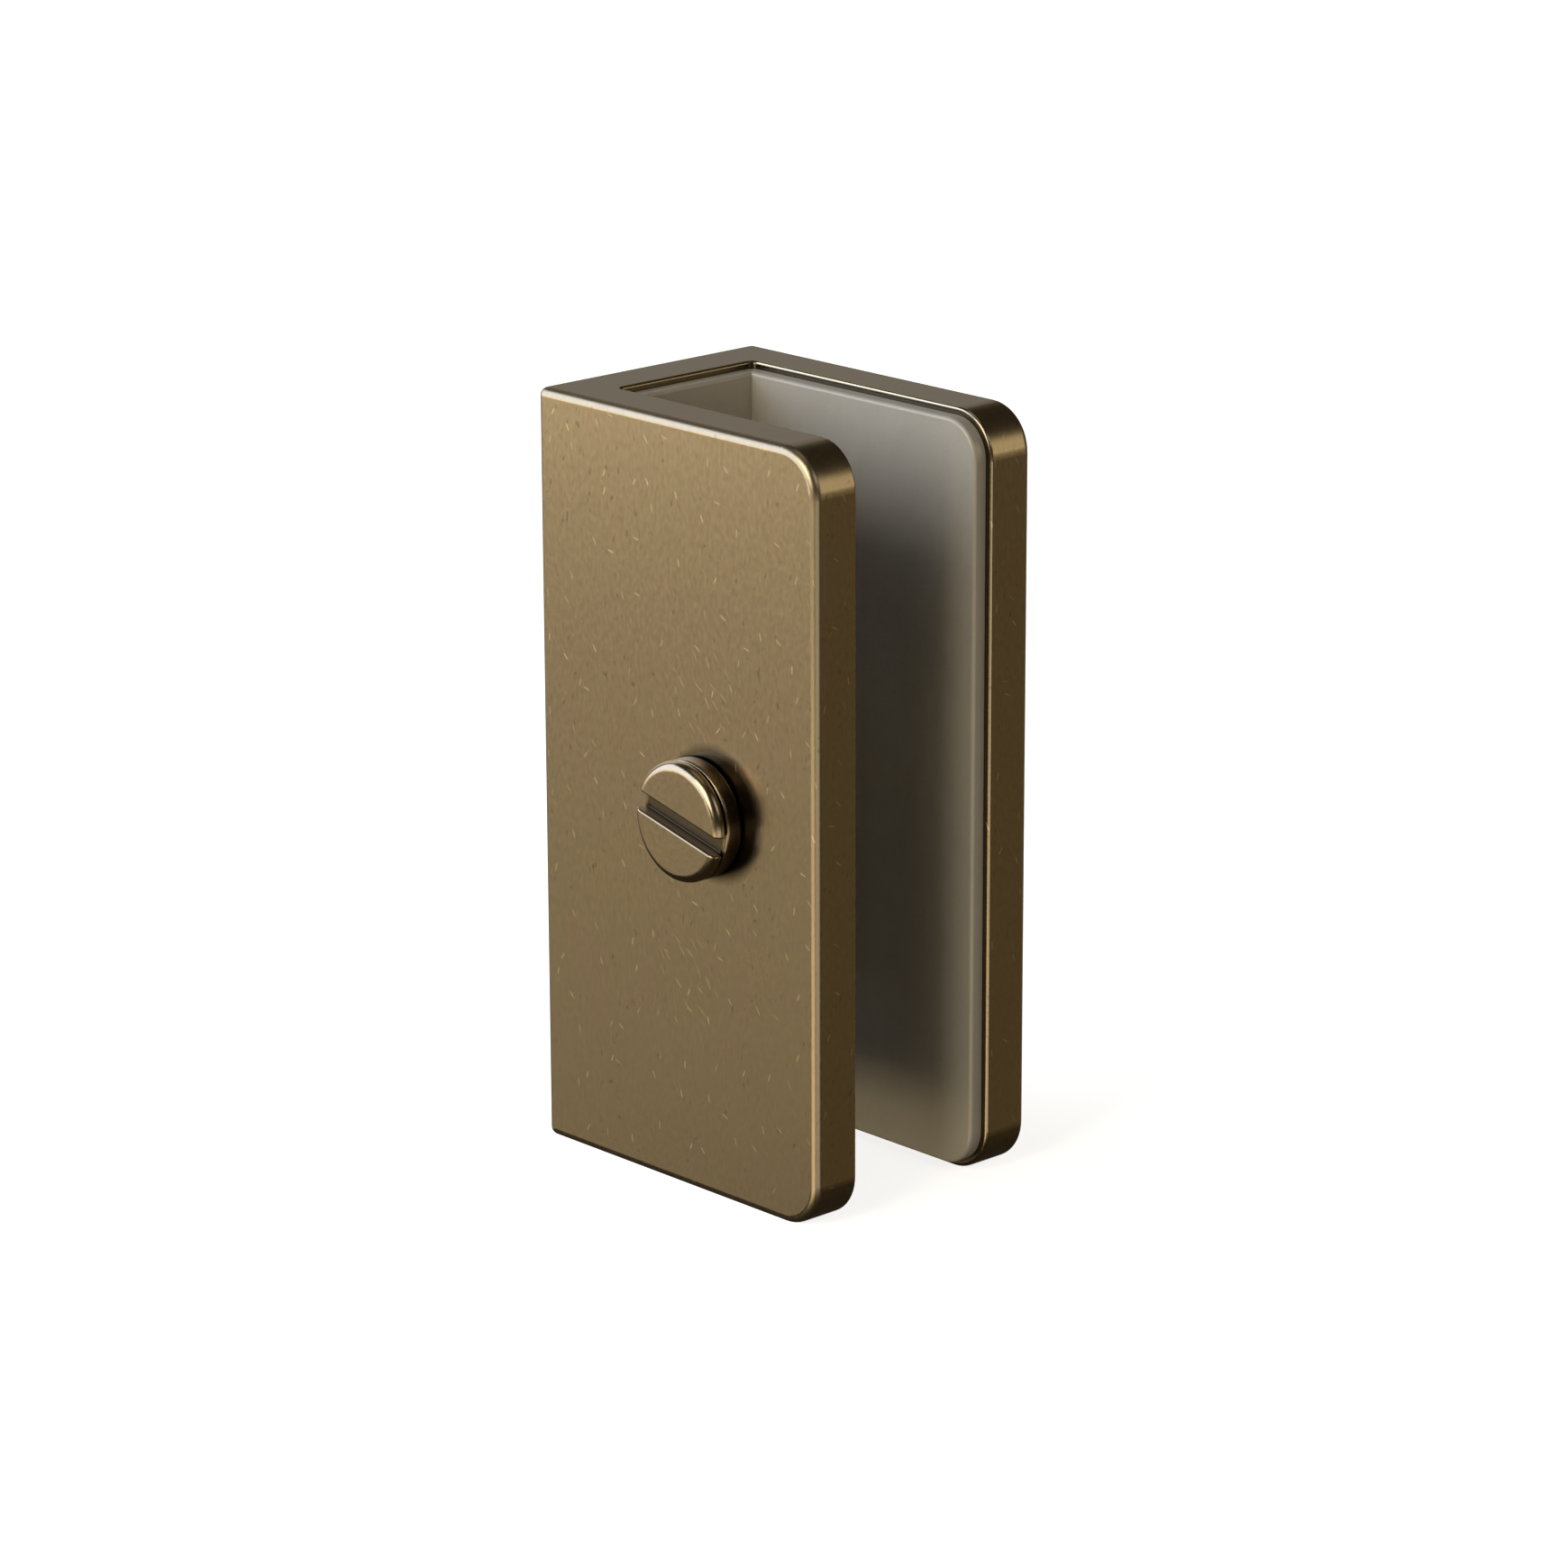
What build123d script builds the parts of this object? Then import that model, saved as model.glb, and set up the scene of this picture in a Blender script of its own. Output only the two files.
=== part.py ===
from build123d import *
import os
from math import cos, radians, sin

# Wall bracket that holds the edge of a shower glass in a U channel.
# +X points out of the channel's mouth, +Z up along the glass edge, and the
# clamp screw is in the front cheek, on the -Y side.
# The origin is the centre of the face that lies on the wall. Sizes are in mm.

# Bracket, milled from brass
height = 50.0
depth = 25.5
thickness = 18.5
web = 3.8
cheek = 3.5
mouth_corner_radius = 3.0
outer_edge_radius = 0.55
inner_edge_radius = 0.22
channel_root_radius = 0.45

# Countersunk holes for the two wall screws
wall_screw_spacing = 30.0
wall_hole_diameter = 4.4
wall_countersink_diameter = 8.2
countersink_angle = 90.0

# Rubber liner, a thin L that lies on the web and on the rear cheek
liner_wall = 0.95
liner_inset = 0.5
liner_front_gap = 0.5
liner_root_radius = 0.6
liner_edge_radius = 0.24
liner_hole_margin = 0.2

# Clamp screw, turned from brass. Its head is a disc on a collar, with a groove
# between them, and its tip ends in a button that holds the pad.
screw_x = 15.1
shank_diameter = 5.0
head_radius = 3.87
head_height = 2.2
head_front_round = 0.57
collar_height = 1.27
collar_front_chamfer = 0.1
collar_rear_round = 0.3
groove_width = 0.25
groove_depth = 0.35
slot_width = 1.25
slot_depth = 0.88
slot_edge_chamfer = 0.08
slot_angle = -13.5
tip_neck_radius = 1.3
tip_button_radius = 1.75
tip_button_height = 0.5

# Pressure pad, which swivels on the screw's tip and bears on the glass
pad_radius = 4.0
pad_thickness = 2.0
pad_projection = 2.55
pad_edge_chamfer = 0.3
pad_lip = 0.5
pocket_depth = 1.5

# Clearances
thread_clearance = 0.05
pad_clearance = 0.3
socket_clearance = 0.08

# Places that follow from the sizes above
half_height = height / 2
half_thickness = thickness / 2
channel_width = thickness - 2 * cheek
channel_depth = depth - web
wall_hole_radius = wall_hole_diameter / 2
wall_head_radius = wall_countersink_diameter / 2
shank_radius = shank_diameter / 2
pad_hole_radius = pad_radius + pad_clearance
liner_end_x = depth - liner_inset
liner_end_z = half_height - liner_inset
liner_corner_radius = mouth_corner_radius - liner_inset
liner_web_x = web + liner_wall
liner_leg_y = channel_width / 2 - liner_wall
liner_front_y = liner_front_gap - channel_width / 2
tolerance = 0.001

# The wall screws go in from the web's inner face.
web_plane = Plane(origin=(web, 0, 0), x_dir=(0, 1, 0), z_dir=(1, 0, 0))
wall_hole_places = [(0, -wall_screw_spacing / 2), (0, wall_screw_spacing / 2)]
# The pad's pocket is sunk into the front cheek's inner face.
pocket_plane = Plane(origin=(screw_x, cheek - half_thickness, 0), x_dir=(1, 0, 0), z_dir=(0, 1, 0))
# The screw's axis points out of the front cheek. In its section plane, x is the
# radius and y is the distance out of the cheek's face.
screw_axis = Axis((screw_x, -half_thickness, 0), (0, -1, 0))
screw_section = Plane(origin=(screw_x, -half_thickness, 0), x_dir=(1, 0, 0), z_dir=(0, 0, -1))
slot_plane = Plane(
    origin=(screw_x, -half_thickness - head_height, 0),
    x_dir=(cos(radians(slot_angle)), 0, sin(radians(slot_angle))),
    z_dir=(0, -1, 0),
)

# Distances out of the front cheek's face, so those inside it are negative
groove_rear = collar_height
groove_front = collar_height + groove_width
pad_face = -(cheek + pad_projection)
pad_back = pad_face + pad_thickness
button_rear = pad_back - pad_lip - socket_clearance
button_end = button_rear - tip_button_height
socket_floor = button_end - socket_clearance


def is_outer_edge(edge):
    """True on the outline of the wall face or of a cheek's outer face."""
    middle = edge @ 0.5
    return middle.X < tolerance or abs(middle.Y) > half_thickness - tolerance


def is_channel_rim(edge):
    """True where the channel meets the bracket's ends, mouth corners and mouth."""
    middle = edge @ 0.5
    in_channel = abs(middle.Y) < channel_width / 2 + tolerance and middle.X > web - tolerance
    past_corner = middle.X > depth - mouth_corner_radius + tolerance
    return in_channel and (past_corner or abs(middle.Z) > half_height - tolerance)


def is_liner_rim(edge):
    """True on the outline of the two liner faces that look at the glass."""
    middle = edge @ 0.5
    on_leg = abs(middle.Y - liner_leg_y) < tolerance
    on_web = abs(middle.X - liner_web_x) < tolerance
    past_corner = middle.X > liner_end_x - liner_corner_radius + tolerance
    return (on_leg or on_web) and (past_corner or abs(middle.Z) > liner_end_z - tolerance)


def is_slot_edge(edge):
    """True where the slot's walls meet the head's outside, and not at the slot's floor."""
    ends = [slot_plane.to_local_coords(edge @ share) for share in (0, 0.5, 1)]
    on_wall = all(abs(abs(end.Y) - slot_width / 2) < tolerance for end in ends)
    return on_wall and max(end.Z for end in ends) > tolerance - slot_depth


def turned_edge(part, radius, out):
    """The circular edges of a turned part with this radius, this far out of the cheek."""
    circles = part.edges().filter_by(GeomType.CIRCLE)
    return circles.filter_by(
        lambda e: abs(e.radius - radius) < tolerance and abs(e.arc_center.Y + half_thickness + out) < tolerance
    )


os.makedirs("parts", exist_ok=True)

# Bracket body: a U section, with rounded corners at the mouth, every edge
# rounded, two countersunk wall holes, the screw's hole and the pad's pocket
with BuildPart() as bracket_body:
    with BuildSketch(Plane.XY.offset(-half_height)):
        with Locations((depth / 2, 0)):
            Rectangle(depth, thickness)
        with Locations((web + channel_depth / 2, 0)):
            Rectangle(channel_depth, channel_width, mode=Mode.SUBTRACT)
    extrude(amount=height)
    mouth_corners = bracket_body.edges().filter_by(Axis.Y).group_by(Axis.X)[-1]
    fillet(mouth_corners, mouth_corner_radius)
    channel_roots = bracket_body.edges().filter_by(Axis.Z).filter_by(
        lambda e: abs(e.center().X - web) < tolerance
    )
    fillet(channel_roots, channel_root_radius)
    fillet(bracket_body.edges().filter_by(is_outer_edge), outer_edge_radius)
    fillet(bracket_body.edges().filter_by(is_channel_rim), inner_edge_radius)
    with Locations(web_plane):
        with Locations(wall_hole_places):
            CounterSinkHole(wall_hole_radius, wall_head_radius, depth=web, counter_sink_angle=countersink_angle)
    with Locations(pocket_plane):
        CounterBoreHole(shank_radius, pad_hole_radius, pocket_depth, depth=cheek)
bracket_body.part.label = "bracket_body"
export_step(bracket_body.part, "parts/bracket_body.step")

# Glass liner: a thin L inside the channel, set back from the bracket's outline,
# with two windows over the wall screws. The pad stands in for its front leg.
with BuildPart() as glass_liner:
    with BuildSketch(Plane.XY.offset(-liner_end_z)):
        with Locations(((web + liner_end_x) / 2, (liner_leg_y + channel_width / 2) / 2)):
            Rectangle(liner_end_x - web, liner_wall)
        with Locations(((web + liner_web_x) / 2, (liner_front_y + channel_width / 2) / 2)):
            Rectangle(liner_wall, channel_width / 2 - liner_front_y)
    extrude(amount=2 * liner_end_z)
    fillet(glass_liner.edges().filter_by(Axis.Y).group_by(Axis.X)[-1], liner_corner_radius)
    fillet(glass_liner.edges().filter_by(Axis.Z).group_by(Axis.X)[0].sort_by(Axis.Y)[-1], liner_root_radius)
    fillet(glass_liner.edges().filter_by(is_liner_rim), liner_edge_radius)
    with Locations(web_plane.offset(liner_wall)):
        with Locations(wall_hole_places):
            Hole(wall_head_radius + liner_hole_margin, depth=liner_wall)
glass_liner.part.label = "glass_liner"
export_step(glass_liner.part, "parts/glass_liner.step")

# Clamp screw: head disc, groove, collar, shank and tip, all turned about its
# axis, with one slot cut across the head down to the groove
with BuildPart() as clamp_screw:
    with BuildSketch(screw_section):
        with BuildLine():
            Polyline(
                (0, head_height),
                (head_radius, head_height),
                (head_radius, groove_front),
                (head_radius - groove_depth, groove_front),
                (head_radius - groove_depth, groove_rear),
                (head_radius, groove_rear),
                (head_radius, 0),
                (shank_radius - thread_clearance, 0),
                (shank_radius - thread_clearance, pad_back),
                (tip_neck_radius, pad_back),
                (tip_neck_radius, button_rear),
                (tip_button_radius, button_rear),
                (tip_button_radius, button_end),
                (0, button_end),
                close=True,
            )
        make_face()
    revolve(axis=screw_axis)
    fillet(turned_edge(clamp_screw, head_radius, head_height), head_front_round)
    chamfer(turned_edge(clamp_screw, head_radius, groove_rear), collar_front_chamfer)
    fillet(turned_edge(clamp_screw, head_radius, 0), collar_rear_round)
    with BuildSketch(slot_plane):
        Rectangle(3 * head_radius, slot_width)
    extrude(amount=-slot_depth, mode=Mode.SUBTRACT)
    chamfer(clamp_screw.edges().filter_by(is_slot_edge), slot_edge_chamfer)
clamp_screw.part.label = "clamp_screw"
export_step(clamp_screw.part, "parts/clamp_screw.step")

# Pressure pad: a disc with an undercut socket that the screw's button snaps into
with BuildPart() as pressure_pad:
    with BuildSketch(screw_section):
        with BuildLine():
            Polyline(
                (tip_neck_radius + socket_clearance, pad_back),
                (pad_radius, pad_back),
                (pad_radius, pad_face),
                (0, pad_face),
                (0, socket_floor),
                (tip_button_radius + socket_clearance, socket_floor),
                (tip_button_radius + socket_clearance, pad_back - pad_lip),
                (tip_neck_radius + socket_clearance, pad_back - pad_lip),
                close=True,
            )
        make_face()
    revolve(axis=screw_axis)
    chamfer(turned_edge(pressure_pad, pad_radius, pad_face), pad_edge_chamfer)
pressure_pad.part.label = "pressure_pad"
export_step(pressure_pad.part, "parts/pressure_pad.step")
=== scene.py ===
from math import cos, pi, radians, sin

import bpy
from mathutils import Matrix, Vector

MM = 0.001

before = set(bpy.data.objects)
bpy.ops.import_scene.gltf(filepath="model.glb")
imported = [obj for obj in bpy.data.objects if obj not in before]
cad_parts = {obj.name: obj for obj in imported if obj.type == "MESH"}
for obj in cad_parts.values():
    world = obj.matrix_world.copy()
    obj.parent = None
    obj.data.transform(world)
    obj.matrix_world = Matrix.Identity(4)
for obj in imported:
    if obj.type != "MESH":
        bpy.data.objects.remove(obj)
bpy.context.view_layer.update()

# The camera stands to the right of the clamp screw's cheek and a little above.
# Its azimuth runs from the screw's side, -Y, towards the channel's mouth, +X.
CAMERA_AZIMUTH = radians(46.91)
CAMERA_ELEVATION = radians(16.53)
CAMERA_ROLL = radians(-0.175)
CAMERA_DISTANCE = 376.3 * MM
CAMERA_ASIDE = 8.75 * MM
CAMERA_RAISE = -2.90 * MM
CAMERA_FOCAL = 132.33
CAMERA_NEAR = 10 * MM
CAMERA_FAR = 20.0
SENSOR_WIDTH = 36.0

# Sizes of the bracket that the materials go by, in mm
WEB = 3.8
CHANNEL_HALF_WIDTH = 5.75
HALF_HEIGHT = 25.0
SCREW_AXIS = (15.1, 0.0, 0.0)

# The screw's slot and collar, in mm. Both distances out are from the bracket's middle
# plane, along -Y, and the slot's angle is to the bracket's depth.
SLOT_ANGLE = radians(-13.5)
SLOT_HALF_WIDTH = 0.625
SLOT_FLOOR_OUT = 10.57
COLLAR_FRONT_OUT = 10.52

# Painted shade beside the screw's collar: a dark patch that stands for the screw's dark reflection and
# shadow on the cheek, which the lamps here don't give. It is drawn in the patina's colour.
# Its middle, the radius of its black part and its reach are in mm.
PAINTED_SHADE_MIDDLE = (16.3, -9.25, 0.4)
PAINTED_SHADE_RADIUS = 3.75
PAINTED_SHADE_REACH = 4.6
PAINTED_SHADE_SHOWN = 0.12

# Brass seen through the patina inside the channel, and through painted shade in the slot and on the collar
CHANNEL_SHOWN = 0.3
SLOT_SHOWN_IN_PAINTED_SHADE = 0.42
COLLAR_SHOWN_IN_PAINTED_SHADE = 0.7

# The brass and its patina. The patina's colour also paints shade in the recesses, in the slot, on the
# collar and beside it. The metal hardly changes in tone from one patch to the next.
BRASS_GREENER = "AA9670"
BRASS_REDDER = "AB9571"
BRASS_BARE = "E3CF9B"
PATINA_AND_PAINTED_SHADE = "1D150C"

# The belt's grain is upright and twice as long as it is wide. It is drawn 0.24 mm wide,
# coarser than real, so that it shows in the render, and so are the pits, 0.3 mm apart.
UPRIGHT = (1.0, 1.0, 0.5)
GRAIN_PER_MM = 4.2
PITS_PER_MM = 3.4
TONES_PER_MM = 0.3

# The lathe's rings, 0.11 mm apart as a finishing cut leaves them, and the mottle of the lacquer
RINGS_PER_MM = 9.0
MOTTLE_PER_MM = 3.6
EVEN = (1.0, 1.0, 1.0)

# Middles of the two scuffs on the front cheek, and how far their scratches spread, in mm
SCUFF_ABOVE = (15.1, -9.25, 8.2)
SCUFF_BELOW = (14.1, -9.25, -11.0)
SCUFF_FULL = 1.5
SCUFF_REACH = 3.5

# The scratches are 0.12 mm wide, coarser than real, so that they show in the render.
SCRATCH_HALF_WIDTH = 0.06
SCRATCH_BARE = 0.9
CELLS_SCRATCHED = 0.75

# The rounded rims of the channel, and how far down from the ends they are worn bare, in mm
RIM_WIDTH = 0.2
RIM_FADE = 0.03
WORN_FROM_END = 0.25
WORN_FADE_END = 0.4
RIM_BARE = 0.8

# The Bevel node rounds the screw's edges by this, in mm, in the look only.
SCREW_EDGE = 0.12

# Depth of the grain, the rings and the rubber's skin in the bump, in metres
RELIEF_DEPTH = 0.01 * MM

# Clouds 1.1 mm wide in the rubber and the nylon, and the rubber's skin, drawn 0.2 mm
# coarse, which is coarser than real, so that it shows in the render
CLOUDS_PER_MM = 0.9
SKIN_PER_MM = 5.0
RUBBER_DARKER = "B5AA92"
RUBBER_LIGHTER = "B8AD95"
RUBBER_SHEEN = "FFDEA4"
RUBBER_IOR = 1.53
NYLON_DARKER = "DAD6C9"
NYLON_LIGHTER = "E5E2D8"

LAMP_DISTANCE = 0.7
TABLE_HEIGHT = -25.0 * MM
TABLE_REACH = 3.0
TABLE_GLOW = 0.82
TABLE_WHITE = "F7EACF"
WALLS = "FFE9C4"
WORLD_DIM = 0.03
WHITE = "FFFFFF"


def direction(azimuth, elevation):
    """The unit vector that points from the bracket towards azimuth and elevation."""
    return Vector((sin(azimuth) * cos(elevation), -cos(azimuth) * cos(elevation), sin(elevation)))


def make_camera():
    """The camera at the photograph's angle, aimed a little beside the wall face's centre."""
    back = direction(CAMERA_AZIMUTH, CAMERA_ELEVATION)
    level_right = Vector((cos(CAMERA_AZIMUTH), sin(CAMERA_AZIMUTH), 0))
    level_up = back.cross(level_right)
    right = cos(CAMERA_ROLL) * level_right + sin(CAMERA_ROLL) * level_up
    up = back.cross(right)
    place = CAMERA_DISTANCE * back + CAMERA_ASIDE * right + CAMERA_RAISE * up
    turn = Matrix((right, up, back)).transposed().to_4x4()
    data = bpy.data.cameras.new("camera")
    data.lens = CAMERA_FOCAL
    data.sensor_width = SENSOR_WIDTH
    data.clip_start = CAMERA_NEAR
    data.clip_end = CAMERA_FAR
    camera = bpy.data.objects.new("camera", data)
    camera.matrix_world = Matrix.Translation(place) @ turn
    bpy.context.collection.objects.link(camera)
    bpy.context.scene.camera = camera


def linear(hex_colour):
    """An sRGB hex colour as the linear RGBA that the shaders take."""
    channels = []
    for place in (0, 2, 4):
        value = int(hex_colour[place:place + 2], 16) / 255
        channels.append(value / 12.92 if value <= 0.04045 else ((value + 0.055) / 1.055) ** 2.4)
    return (*channels, 1.0)


def add_node(tree, kind, inputs=(), **settings):
    """Adds a node with its settings. Its inputs are given in their order or by name or number, each
    as a value, as a socket to link from, or as a node to link from by its first output."""
    node = tree.nodes.new(kind)
    for name, value in settings.items():
        setattr(node, name, value)
    pairs = inputs.items() if isinstance(inputs, dict) else enumerate(inputs)
    for place, value in pairs:
        if isinstance(value, bpy.types.Node):
            value = value.outputs[0]
        if isinstance(value, bpy.types.NodeSocket):
            tree.links.new(value, node.inputs[place])
        else:
            node.inputs[place].default_value = value
    return node


def new_material(name):
    """A material with an empty node tree."""
    material = bpy.data.materials.new(name)
    material.use_nodes = True
    material.node_tree.nodes.clear()
    return material


def places_in_mm(tree):
    """The place on the piece in mm, in the shared frame."""
    place = add_node(tree, "ShaderNodeTexCoord").outputs["Object"]
    return add_node(tree, "ShaderNodeVectorMath", {0: place, "Scale": 1 / MM}, operation="SCALE")


def stretched_noise(tree, place, stretch, per_mm, detail):
    """Noise with per_mm features to a mm, and each axis squeezed by its factor in stretch."""
    squeezed = add_node(tree, "ShaderNodeVectorMath", [place, stretch], operation="MULTIPLY")
    return add_node(tree, "ShaderNodeTexNoise", {"Vector": squeezed, "Scale": per_mm, "Detail": detail})


def short_scratches(tree, place, cells_per_mm, lean, spread, half_length):
    """Up to 1 on short straight scratches: at most one per cell, each of its own strength and leaning
    by lean and a random part of spread. The upright faces are unrolled sideways, so the scratches
    lie flat on each. They fade towards their sides and ends."""
    axes = add_node(tree, "ShaderNodeSeparateXYZ", [place]).outputs
    along = add_node(tree, "ShaderNodeMath", [axes[0], axes[1]], operation="ADD")
    flat = add_node(tree, "ShaderNodeCombineXYZ", [along, axes[2]])
    cell = add_node(
        tree, "ShaderNodeTexVoronoi", {"Vector": flat, "Scale": cells_per_mm}, voronoi_dimensions="2D",
    ).outputs
    away = add_node(tree, "ShaderNodeVectorMath", [flat, cell["Position"]], operation="SUBTRACT")
    chance = add_node(tree, "ShaderNodeSeparateColor", [cell["Color"]]).outputs
    angle = add_node(tree, "ShaderNodeMapRange", [chance[0], 0.0, 1.0, lean - spread, lean + spread])
    turned = add_node(
        tree, "ShaderNodeVectorRotate", {"Vector": away, "Angle": angle}, rotation_type="Z_AXIS",
    )
    sides = add_node(tree, "ShaderNodeSeparateXYZ", [turned]).outputs
    across = add_node(tree, "ShaderNodeMath", [sides[0]], operation="ABSOLUTE")
    down = add_node(tree, "ShaderNodeMath", [sides[1]], operation="ABSOLUTE")
    line = add_node(
        tree, "ShaderNodeMapRange", [across, 0.4 * SCRATCH_HALF_WIDTH, SCRATCH_HALF_WIDTH, 1.0, 0.0],
    )
    end = add_node(tree, "ShaderNodeMapRange", [down, 0.6 * half_length, half_length, 1.0, 0.0])
    drawn = add_node(tree, "ShaderNodeMath", [line, end], operation="MULTIPLY")
    kept = add_node(
        tree, "ShaderNodeMapRange", [chance[1], CELLS_SCRATCHED, CELLS_SCRATCHED + 0.02, 1.0, 0.0],
    )
    strength = add_node(tree, "ShaderNodeMapRange", [chance[2], 0.0, 1.0, 0.35, 1.0])
    level = add_node(tree, "ShaderNodeMath", [kept, strength], operation="MULTIPLY")
    return add_node(tree, "ShaderNodeMath", [drawn, level], operation="MULTIPLY")


def in_slot(tree, place):
    """1 on the floor and the walls of the screw's slot, and 0 on its lips and elsewhere."""
    over = (-sin(SLOT_ANGLE), 0.0, cos(SLOT_ANGLE))
    off_axis = add_node(tree, "ShaderNodeVectorMath", [place, SCREW_AXIS], operation="SUBTRACT")
    across = add_node(tree, "ShaderNodeVectorMath", [off_axis, over], operation="DOT_PRODUCT")
    aside = add_node(tree, "ShaderNodeMath", [across.outputs["Value"]], operation="ABSOLUTE")
    between = add_node(
        tree, "ShaderNodeMapRange", [aside, SLOT_HALF_WIDTH - 0.005, SLOT_HALF_WIDTH + 0.03, 1.0, 0.0],
    )
    along = add_node(tree, "ShaderNodeSeparateXYZ", [place]).outputs[1]
    past_floor = add_node(
        tree, "ShaderNodeMapRange", [along, 0.01 - SLOT_FLOOR_OUT, 0.04 - SLOT_FLOOR_OUT, 1.0, 0.0],
    )
    return add_node(tree, "ShaderNodeMath", [between, past_floor], operation="MULTIPLY")


def brass_colour(tree, place, reach, share_shown):
    """Brass with dark patina and painted shade in the recesses, out to reach in mm, and where share_shown
    is low.
    """
    patch = stretched_noise(tree, place, (1.0, 1.0, 0.7), TONES_PER_MM, 3.0)
    redder = add_node(tree, "ShaderNodeMapRange", [patch, 0.38, 0.62, 0.0, 1.0])
    tone = add_node(
        tree, "ShaderNodeMix", {0: redder, 6: linear(BRASS_GREENER), 7: linear(BRASS_REDDER)},
        data_type="RGBA",
    ).outputs[2]
    # Painted shade and patina: the brass is darkened where the surface is hemmed in, out to reach.
    open_share = add_node(tree, "ShaderNodeAmbientOcclusion", {"Distance": reach * MM}, samples=12)
    relieved = add_node(tree, "ShaderNodeMapRange", [open_share.outputs["AO"], 0.3, 0.85, 0.0, 1.0])
    shown = add_node(tree, "ShaderNodeMath", [relieved, share_shown], operation="MULTIPLY")
    return add_node(
        tree, "ShaderNodeMix", {0: shown, 6: linear(PATINA_AND_PAINTED_SHADE), 7: tone}, data_type="RGBA",
    ).outputs[2]


def distance_from_screw(tree, place):
    """The distance in mm from the clamp screw's axis."""
    off_axis = add_node(tree, "ShaderNodeVectorMath", [place, SCREW_AXIS], operation="SUBTRACT")
    flat = add_node(tree, "ShaderNodeVectorMath", [off_axis, (1.0, 0.0, 1.0)], operation="MULTIPLY")
    return add_node(tree, "ShaderNodeVectorMath", [flat], operation="LENGTH").outputs["Value"]


def reached_by_belt(tree, outward, sideways):
    """1 on the bracket's outer faces and 0 in the channel."""
    outside = add_node(
        tree, "ShaderNodeMapRange",
        [sideways, CHANNEL_HALF_WIDTH + 0.005, CHANNEL_HALF_WIDTH + 0.04, 0.0, 1.0],
    )
    behind = add_node(tree, "ShaderNodeMapRange", [outward, WEB - 0.04, WEB - 0.005, 1.0, 0.0])
    return add_node(tree, "ShaderNodeMath", [outside, behind], operation="MAXIMUM")


def by_channel(tree, outward, sideways):
    """1 in the channel and on its rounded rims, and 0 further out."""
    rim_side = CHANNEL_HALF_WIDTH + RIM_WIDTH
    rim_back = WEB - RIM_WIDTH
    beside = add_node(tree, "ShaderNodeMapRange", [sideways, rim_side, rim_side + RIM_FADE, 1.0, 0.0])
    past_web = add_node(tree, "ShaderNodeMapRange", [outward, rim_back - RIM_FADE, rim_back, 0.0, 1.0])
    return add_node(tree, "ShaderNodeMath", [beside, past_web], operation="MULTIPLY")


def rounded_edge(tree, facing):
    """1 where the surface is turned between two axes, as on a rounded edge, and 0 on flat faces."""
    squares = add_node(tree, "ShaderNodeVectorMath", [facing, facing], operation="MULTIPLY")
    flatness = add_node(tree, "ShaderNodeVectorMath", [squares, squares], operation="DOT_PRODUCT")
    return add_node(tree, "ShaderNodeMapRange", [flatness.outputs["Value"], 0.9, 0.97, 1.0, 0.0])


def bare_scratches(tree, place, facing):
    """Bare scratches on the upright faces: close ones in the two scuffs, and lone ones all over."""
    above = add_node(tree, "ShaderNodeVectorMath", [place, SCUFF_ABOVE], operation="DISTANCE")
    below = add_node(tree, "ShaderNodeVectorMath", [place, SCUFF_BELOW], operation="DISTANCE")
    nearer = add_node(
        tree, "ShaderNodeMath", [above.outputs["Value"], below.outputs["Value"]], operation="MINIMUM",
    )
    in_scuff = add_node(tree, "ShaderNodeMapRange", [nearer, SCUFF_FULL, SCUFF_REACH, 1.0, 0.0])
    close = short_scratches(tree, place, 0.9, radians(-40), radians(20), 0.45)
    scuffed = add_node(tree, "ShaderNodeMath", [close, in_scuff], operation="MULTIPLY")
    lone = short_scratches(tree, place, 0.4, radians(-20), radians(60), 0.3)
    scratch = add_node(tree, "ShaderNodeMath", [scuffed, lone], operation="MAXIMUM")
    upward = add_node(tree, "ShaderNodeSeparateXYZ", [facing]).outputs[2]
    tilt = add_node(tree, "ShaderNodeMath", [upward], operation="ABSOLUTE")
    upright = add_node(tree, "ShaderNodeMapRange", [tilt, 0.3, 0.6, 1.0, 0.0])
    strength = add_node(tree, "ShaderNodeMath", [upright, SCRATCH_BARE], operation="MULTIPLY")
    return add_node(tree, "ShaderNodeMath", [scratch, strength], operation="MULTIPLY")


def bare_rims(tree, height, edge, near_channel, relieved):
    """The channel's rounded rims at the bracket's ends, worn bare by the glass and by handling."""
    worn = add_node(
        tree, "ShaderNodeMapRange",
        [height, HALF_HEIGHT - WORN_FADE_END, HALF_HEIGHT - WORN_FROM_END, 0.0, RIM_BARE],
    )
    for share in (edge, near_channel, relieved):
        worn = add_node(tree, "ShaderNodeMath", [worn, share], operation="MULTIPLY")
    return worn


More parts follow.
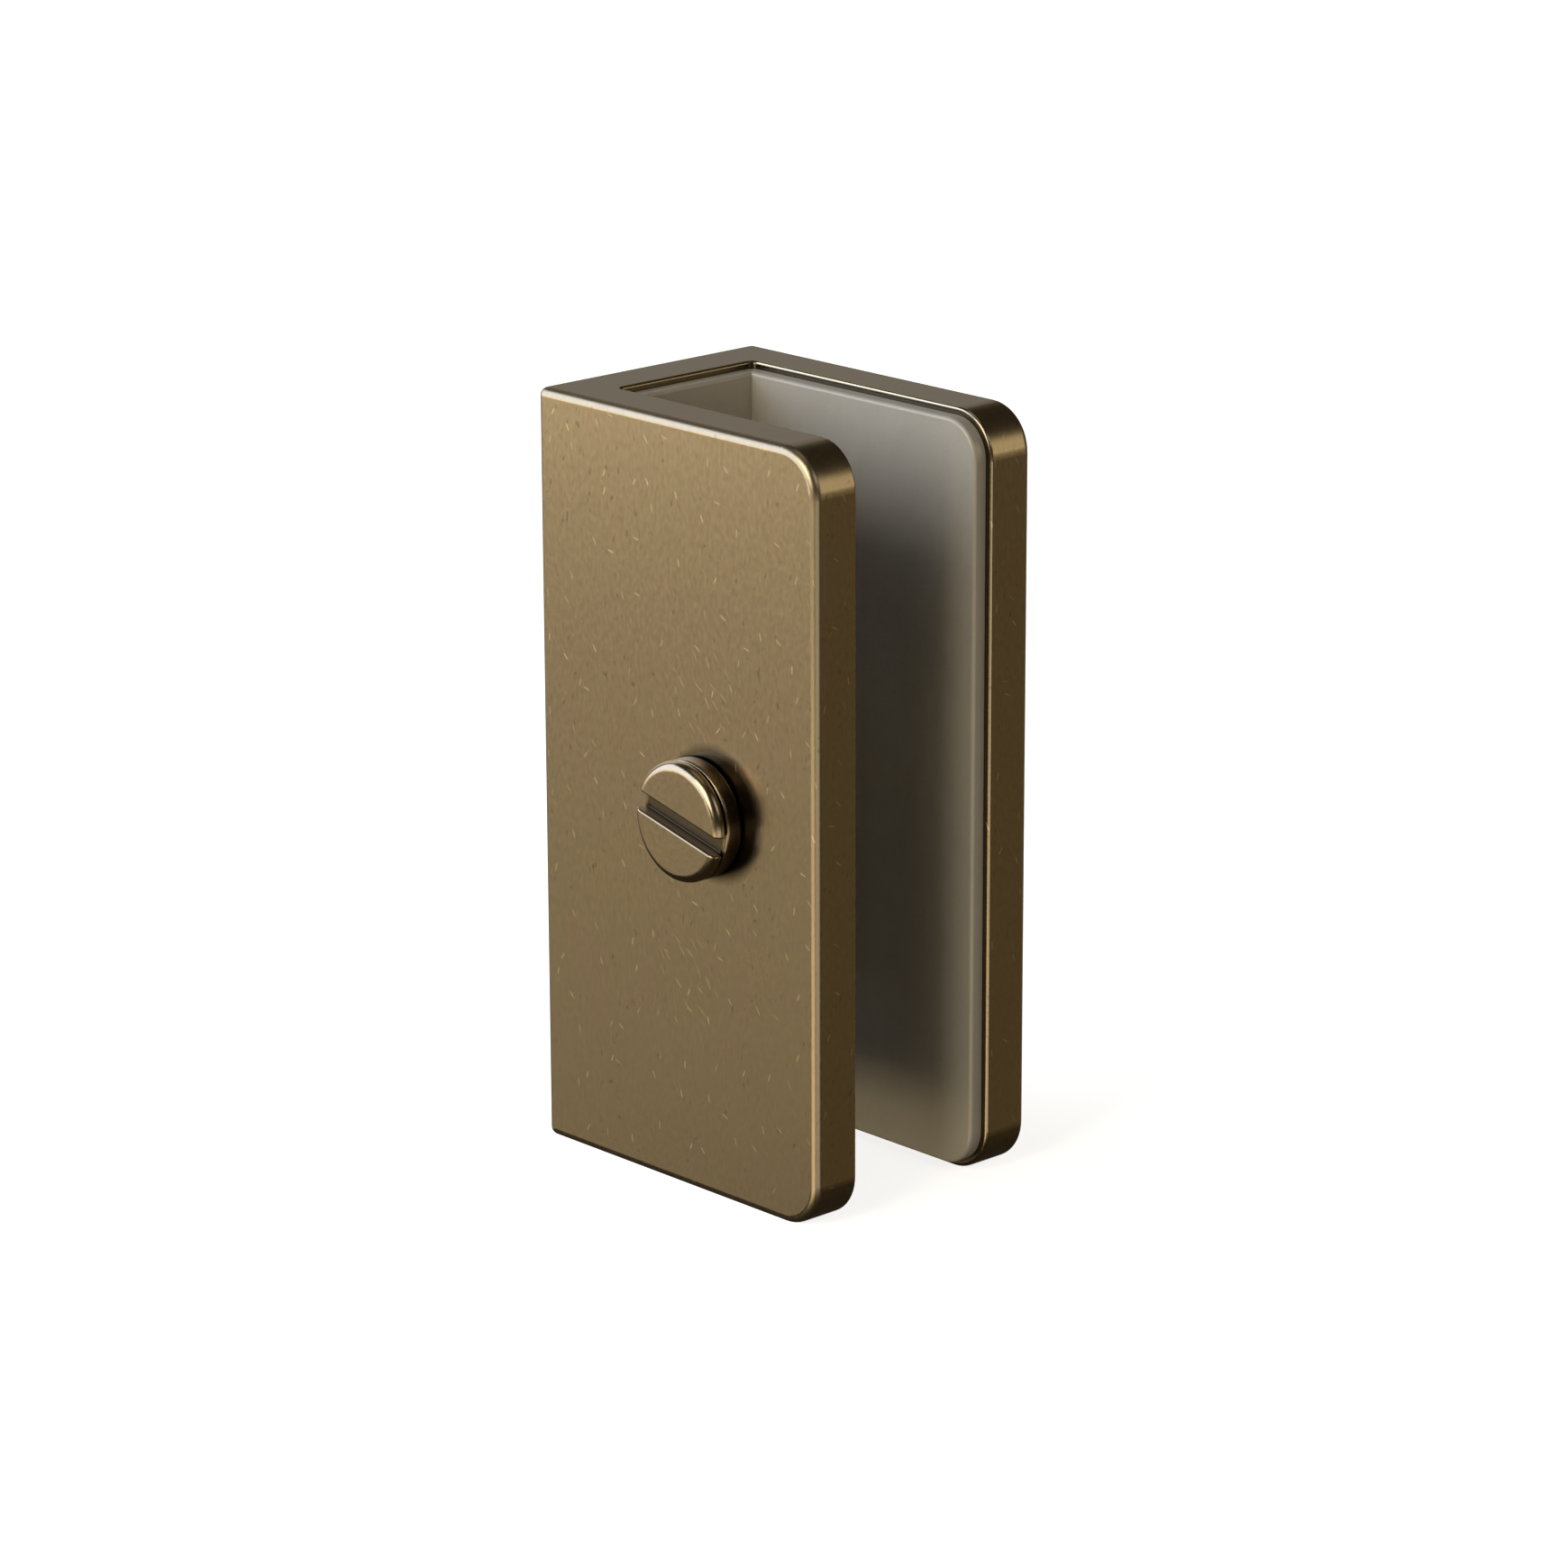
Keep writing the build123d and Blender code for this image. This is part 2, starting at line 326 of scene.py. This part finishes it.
def brushed_brass():
    """Antique brass of the bracket: milled, darkened, then relieved with a fine belt along the height
    and lacquered. The eye gets short upright grain, a few bright handling scratches, dark pits,
    dark patina and painted shade in the corners, dark patina in the channel, where the belt doesn't
    reach, and a patch of painted shade beside the screw's collar."""
    material = new_material("antique_brass_brushed")
    tree = material.node_tree
    place = places_in_mm(tree)
    facing = add_node(tree, "ShaderNodeNewGeometry").outputs["Normal"]
    outward, across, up = add_node(tree, "ShaderNodeSeparateXYZ", [place]).outputs
    sideways = add_node(tree, "ShaderNodeMath", [across], operation="ABSOLUTE")
    height = add_node(tree, "ShaderNodeMath", [up], operation="ABSOLUTE")
    relieved = reached_by_belt(tree, outward, sideways)
    near_channel = by_channel(tree, outward, sideways)
    edge = rounded_edge(tree, facing)

    # Painted shade beside the screw's collar, standing for the screw's dark reflection and shadow.
    from_painted_shade = add_node(tree, "ShaderNodeVectorMath", [place, PAINTED_SHADE_MIDDLE], operation="DISTANCE")
    beyond_painted_shade = add_node(
        tree, "ShaderNodeMapRange",
        [from_painted_shade.outputs["Value"], PAINTED_SHADE_RADIUS, PAINTED_SHADE_REACH, PAINTED_SHADE_SHOWN, 1.0],
    )
    polished = add_node(tree, "ShaderNodeMapRange", [relieved, 0.0, 1.0, CHANNEL_SHOWN, 1.0])
    shown = add_node(tree, "ShaderNodeMath", [polished, beyond_painted_shade], operation="MULTIPLY")
    colour = brass_colour(tree, place, 0.3, shown)

    grain = stretched_noise(tree, place, UPRIGHT, GRAIN_PER_MM, 5.0)
    shade = add_node(tree, "ShaderNodeMapRange", [grain, 0.3, 0.7, 0.93, 1.06])
    specks = stretched_noise(tree, place, UPRIGHT, PITS_PER_MM, 1.0)
    pits = add_node(tree, "ShaderNodeMapRange", [specks, 0.72, 0.76, 1.0, 0.72])
    level = add_node(tree, "ShaderNodeMath", [shade, pits], operation="MULTIPLY")
    shaded = add_node(tree, "ShaderNodeVectorMath", {0: colour, "Scale": level}, operation="SCALE")

    scratches = bare_scratches(tree, place, facing)
    rims = bare_rims(tree, height, edge, near_channel, relieved)
    bare = add_node(tree, "ShaderNodeMath", [scratches, rims], operation="MAXIMUM")
    worn = add_node(tree, "ShaderNodeMix", {0: bare, 6: shaded, 7: linear(BRASS_BARE)}, data_type="RGBA")

    # The belt leaves the outer edges rougher than the faces.
    outer_edge = add_node(tree, "ShaderNodeMath", [edge, near_channel], operation="SUBTRACT")
    face_rough = add_node(tree, "ShaderNodeMapRange", [grain, 0.3, 0.7, 0.22, 0.25])
    edge_rough = add_node(tree, "ShaderNodeMapRange", [outer_edge, 0.0, 1.0, 0.0, 0.1])
    rough = add_node(tree, "ShaderNodeMath", [face_rough, edge_rough], operation="ADD")
    bump = add_node(
        tree, "ShaderNodeBump", {"Strength": 0.03, "Distance": RELIEF_DEPTH, "Height": grain},
    )
    shader = add_node(tree, "ShaderNodeBsdfPrincipled", {
        "Base Color": worn.outputs[2],
        "Metallic": 1.0,
        "Roughness": rough,
        "Normal": bump,
    })
    add_node(tree, "ShaderNodeOutputMaterial", {"Surface": shader})
    return material


def turned_brass():
    """Antique brass of the clamp screw: turned on a lathe, darkened, relieved and lacquered. The eye
    gets faint rings round the screw's axis, and painted shade in the slot, in the groove and on the collar."""
    material = new_material("antique_brass_turned")
    tree = material.node_tree
    place = places_in_mm(tree)
    along = add_node(tree, "ShaderNodeSeparateXYZ", [place]).outputs[1]
    ring_place = add_node(tree, "ShaderNodeCombineXYZ", [distance_from_screw(tree, place), along])
    rings = stretched_noise(tree, ring_place, EVEN, RINGS_PER_MM, 3.0)
    mottle = stretched_noise(tree, place, EVEN, MOTTLE_PER_MM, 4.0)
    ring_shade = add_node(tree, "ShaderNodeMapRange", [rings, 0.3, 0.7, 0.97, 1.03])
    mottle_shade = add_node(tree, "ShaderNodeMapRange", [mottle, 0.3, 0.7, 0.94, 1.05])
    shade = add_node(tree, "ShaderNodeMath", [ring_shade, mottle_shade], operation="MULTIPLY")

    # Painted shade in the slot and on the collar: their brass is darkened towards the patina's colour.
    hidden = add_node(tree, "ShaderNodeMapRange", [in_slot(tree, place), 0.0, 1.0, 1.0, SLOT_SHOWN_IN_PAINTED_SHADE])
    collar = add_node(
        tree, "ShaderNodeMapRange",
        [along, -COLLAR_FRONT_OUT - 0.2, -COLLAR_FRONT_OUT + 0.05, 1.0, COLLAR_SHOWN_IN_PAINTED_SHADE],
    )
    shown = add_node(tree, "ShaderNodeMath", [hidden, collar], operation="MULTIPLY")
    colour = brass_colour(tree, place, 0.6, shown)
    shaded = add_node(tree, "ShaderNodeVectorMath", {0: colour, "Scale": shade}, operation="SCALE")

    eased = add_node(tree, "ShaderNodeBevel", {"Radius": SCREW_EDGE * MM}, samples=8)
    bump = add_node(tree, "ShaderNodeBump", {
        "Strength": 0.06,
        "Distance": RELIEF_DEPTH,
        "Height": rings,
        "Normal": eased,
    })
    shader = add_node(tree, "ShaderNodeBsdfPrincipled", {
        "Base Color": shaded,
        "Metallic": 1.0,
        "Roughness": add_node(tree, "ShaderNodeMapRange", [mottle, 0.3, 0.7, 0.21, 0.25]),
        "Normal": bump,
    })
    add_node(tree, "ShaderNodeOutputMaterial", {"Surface": shader})
    return material


def satin_rubber():
    """Rubber of the liner: moulded as an L with a satin skin. The eye gets a warm grey with faint
    cloudiness and a dull sheen. The sheen's warm tint offsets the cool key lamp."""
    material = new_material("warm_grey_rubber")
    tree = material.node_tree
    place = places_in_mm(tree)
    cloud = stretched_noise(tree, place, (1.0, 1.0, 0.6), CLOUDS_PER_MM, 2.0)
    skin = stretched_noise(tree, place, EVEN, SKIN_PER_MM, 3.0)
    lighter = add_node(tree, "ShaderNodeMapRange", [cloud, 0.35, 0.65, 0.0, 1.0])
    colour = add_node(
        tree, "ShaderNodeMix", {0: lighter, 6: linear(RUBBER_DARKER), 7: linear(RUBBER_LIGHTER)},
        data_type="RGBA",
    ).outputs[2]
    shade = add_node(tree, "ShaderNodeMapRange", [skin, 0.3, 0.7, 0.97, 1.03])
    shaded = add_node(tree, "ShaderNodeVectorMath", {0: colour, "Scale": shade}, operation="SCALE")
    bump = add_node(
        tree, "ShaderNodeBump", {"Strength": 0.03, "Distance": RELIEF_DEPTH, "Height": skin},
    )
    shader = add_node(tree, "ShaderNodeBsdfPrincipled", {
        "Base Color": shaded,
        "IOR": RUBBER_IOR,
        "Specular IOR Level": 0.8,
        "Specular Tint": linear(RUBBER_SHEEN),
        "Roughness": add_node(tree, "ShaderNodeMapRange", [cloud, 0.3, 0.7, 0.285, 0.305]),
        "Normal": bump,
    })
    add_node(tree, "ShaderNodeOutputMaterial", {"Surface": shader})
    return material


def natural_nylon():
    """Natural nylon of the pressure pad: moulded, with a fine matt skin. The eye gets an ivory white
    with faint milky clouds."""
    material = new_material("natural_nylon")
    tree = material.node_tree
    place = places_in_mm(tree)
    cloud = stretched_noise(tree, place, EVEN, CLOUDS_PER_MM, 3.0)
    lighter = add_node(tree, "ShaderNodeMapRange", [cloud, 0.35, 0.65, 0.0, 1.0])
    colour = add_node(
        tree, "ShaderNodeMix", {0: lighter, 6: linear(NYLON_DARKER), 7: linear(NYLON_LIGHTER)},
        data_type="RGBA",
    ).outputs[2]
    shader = add_node(tree, "ShaderNodeBsdfPrincipled", {
        "Base Color": colour,
        "Roughness": add_node(tree, "ShaderNodeMapRange", [cloud, 0.3, 0.7, 0.38, 0.46]),
        "Subsurface Weight": 0.15,
        "Subsurface Scale": 1.0 * MM,
    })
    add_node(tree, "ShaderNodeOutputMaterial", {"Surface": shader})
    return material


def dress(node, material):
    """Gives a CAD node one material in place of its own."""
    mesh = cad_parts[node].data
    mesh.materials.clear()
    mesh.materials.append(material)


def softbox(name, azimuth, elevation, width, height, radiance, tint=WHITE):
    """A rectangular lamp of even radiance, LAMP_DISTANCE away, that looks at the bracket. The
    angles are in degrees, and the width and height in metres."""
    towards = direction(radians(azimuth), radians(elevation))
    data = bpy.data.lights.new(name, "AREA")
    data.shape = "RECTANGLE"
    data.size = width
    data.size_y = height
    data.color = linear(tint)[:3]
    data.energy = radiance * width * height * pi
    lamp = bpy.data.objects.new(name, data)
    lamp.rotation_mode = "QUATERNION"
    lamp.rotation_quaternion = towards.to_track_quat("Z", "Y")
    lamp.location = towards * LAMP_DISTANCE
    lamp.visible_camera = False
    bpy.context.collection.objects.link(lamp)


def backlit_acrylic():
    """White acrylic of the table, lit from below. The camera sees it white with the bracket's soft
    shadow on it, and the low lamps shine through it."""
    material = new_material("white_acrylic_backlit")
    tree = material.node_tree
    seen = add_node(tree, "ShaderNodeLightPath").outputs["Is Camera Ray"]
    clear = add_node(tree, "ShaderNodeBsdfTransparent")
    lit = add_node(tree, "ShaderNodeBsdfDiffuse", {"Color": linear(TABLE_WHITE)})
    glow = add_node(tree, "ShaderNodeEmission", {"Color": linear(WHITE), "Strength": TABLE_GLOW})
    sheet = add_node(tree, "ShaderNodeAddShader", [lit, glow])
    mix = add_node(tree, "ShaderNodeMixShader", [seen, clear, sheet])
    add_node(tree, "ShaderNodeOutputMaterial", {"Surface": mix})
    return material


def make_table():
    """The table top that the bracket stands on."""
    corners = []
    for x_side, y_side in ((-1, -1), (1, -1), (1, 1), (-1, 1)):
        corners.append((x_side * TABLE_REACH, y_side * TABLE_REACH, TABLE_HEIGHT))
    mesh = bpy.data.meshes.new("table")
    mesh.from_pydata(corners, [], [(0, 1, 2, 3)])
    mesh.materials.append(backlit_acrylic())
    table = bpy.data.objects.new("table", mesh)
    bpy.context.collection.objects.link(table)


def make_world():
    """The studio round the bracket: a white backdrop for the camera and for rays through clear
    things, and dim walls for all other rays, so the brass mirrors the lamps and not the backdrop."""
    world = bpy.data.worlds.new("studio")
    world.use_nodes = True
    tree = world.node_tree
    tree.nodes.clear()
    ray = add_node(tree, "ShaderNodeLightPath").outputs
    walls = add_node(tree, "ShaderNodeBackground", {"Color": linear(WALLS), "Strength": WORLD_DIM})
    backdrop = add_node(tree, "ShaderNodeBackground", {"Color": linear(WHITE), "Strength": 1.0})
    shown = add_node(
        tree, "ShaderNodeMath", [ray["Is Camera Ray"], ray["Is Transmission Ray"]], operation="MAXIMUM",
    )
    mix = add_node(tree, "ShaderNodeMixShader", [shown, walls, backdrop])
    add_node(tree, "ShaderNodeOutputWorld", {"Surface": mix})
    bpy.context.scene.world = world


make_camera()
dress("bracket_body", brushed_brass())
dress("clamp_screw", turned_brass())
dress("glass_liner", satin_rubber())
dress("pressure_pad", natural_nylon())
make_world()
make_table()

# Seen from the camera, the screw's cheek mirrors azimuth -47 and elevation -16.5, the end
# faces at the mouth mirror 133 and -16.5, and the top mirrors -133 and 16.5.
softbox("key", -47, 20.5, 0.91, 0.55, 4.2, "BED1FF")
softbox("key_low", -47, -5.2, 0.91, 0.104, 2.2, "FFF9EC")
softbox("low_left", -47, -18, 1.02, 0.172, 0.42, "FFF9EC")
softbox("front_high", 5, 26, 0.35, 0.455, 5.0)
softbox("low_front", 10, -24, 0.5, 0.2, 2.6, "FFF4DC")
softbox("fill", 66, -17, 0.62, 0.22, 1.32, "F2F5FF")
softbox("rim", 133, 12, 0.35, 0.30, 1.25, "FFF8E6")
softbox("rear_low", 133, -14, 0.65, 0.36, 0.115, "FFE9C4")
softbox("back_card", -118, 25, 0.57, 0.51, 0.27)
softbox("back_low", 183, -14, 0.4, 0.36, 0.25, "FFF0D8")
softbox("overhead", 0, 89, 0.4, 0.4, 0.35)
softbox("mouth_high", 92, 32, 0.35, 0.3, 1.2, "E8EEFF")

bpy.context.scene.view_settings.view_transform = "Standard"
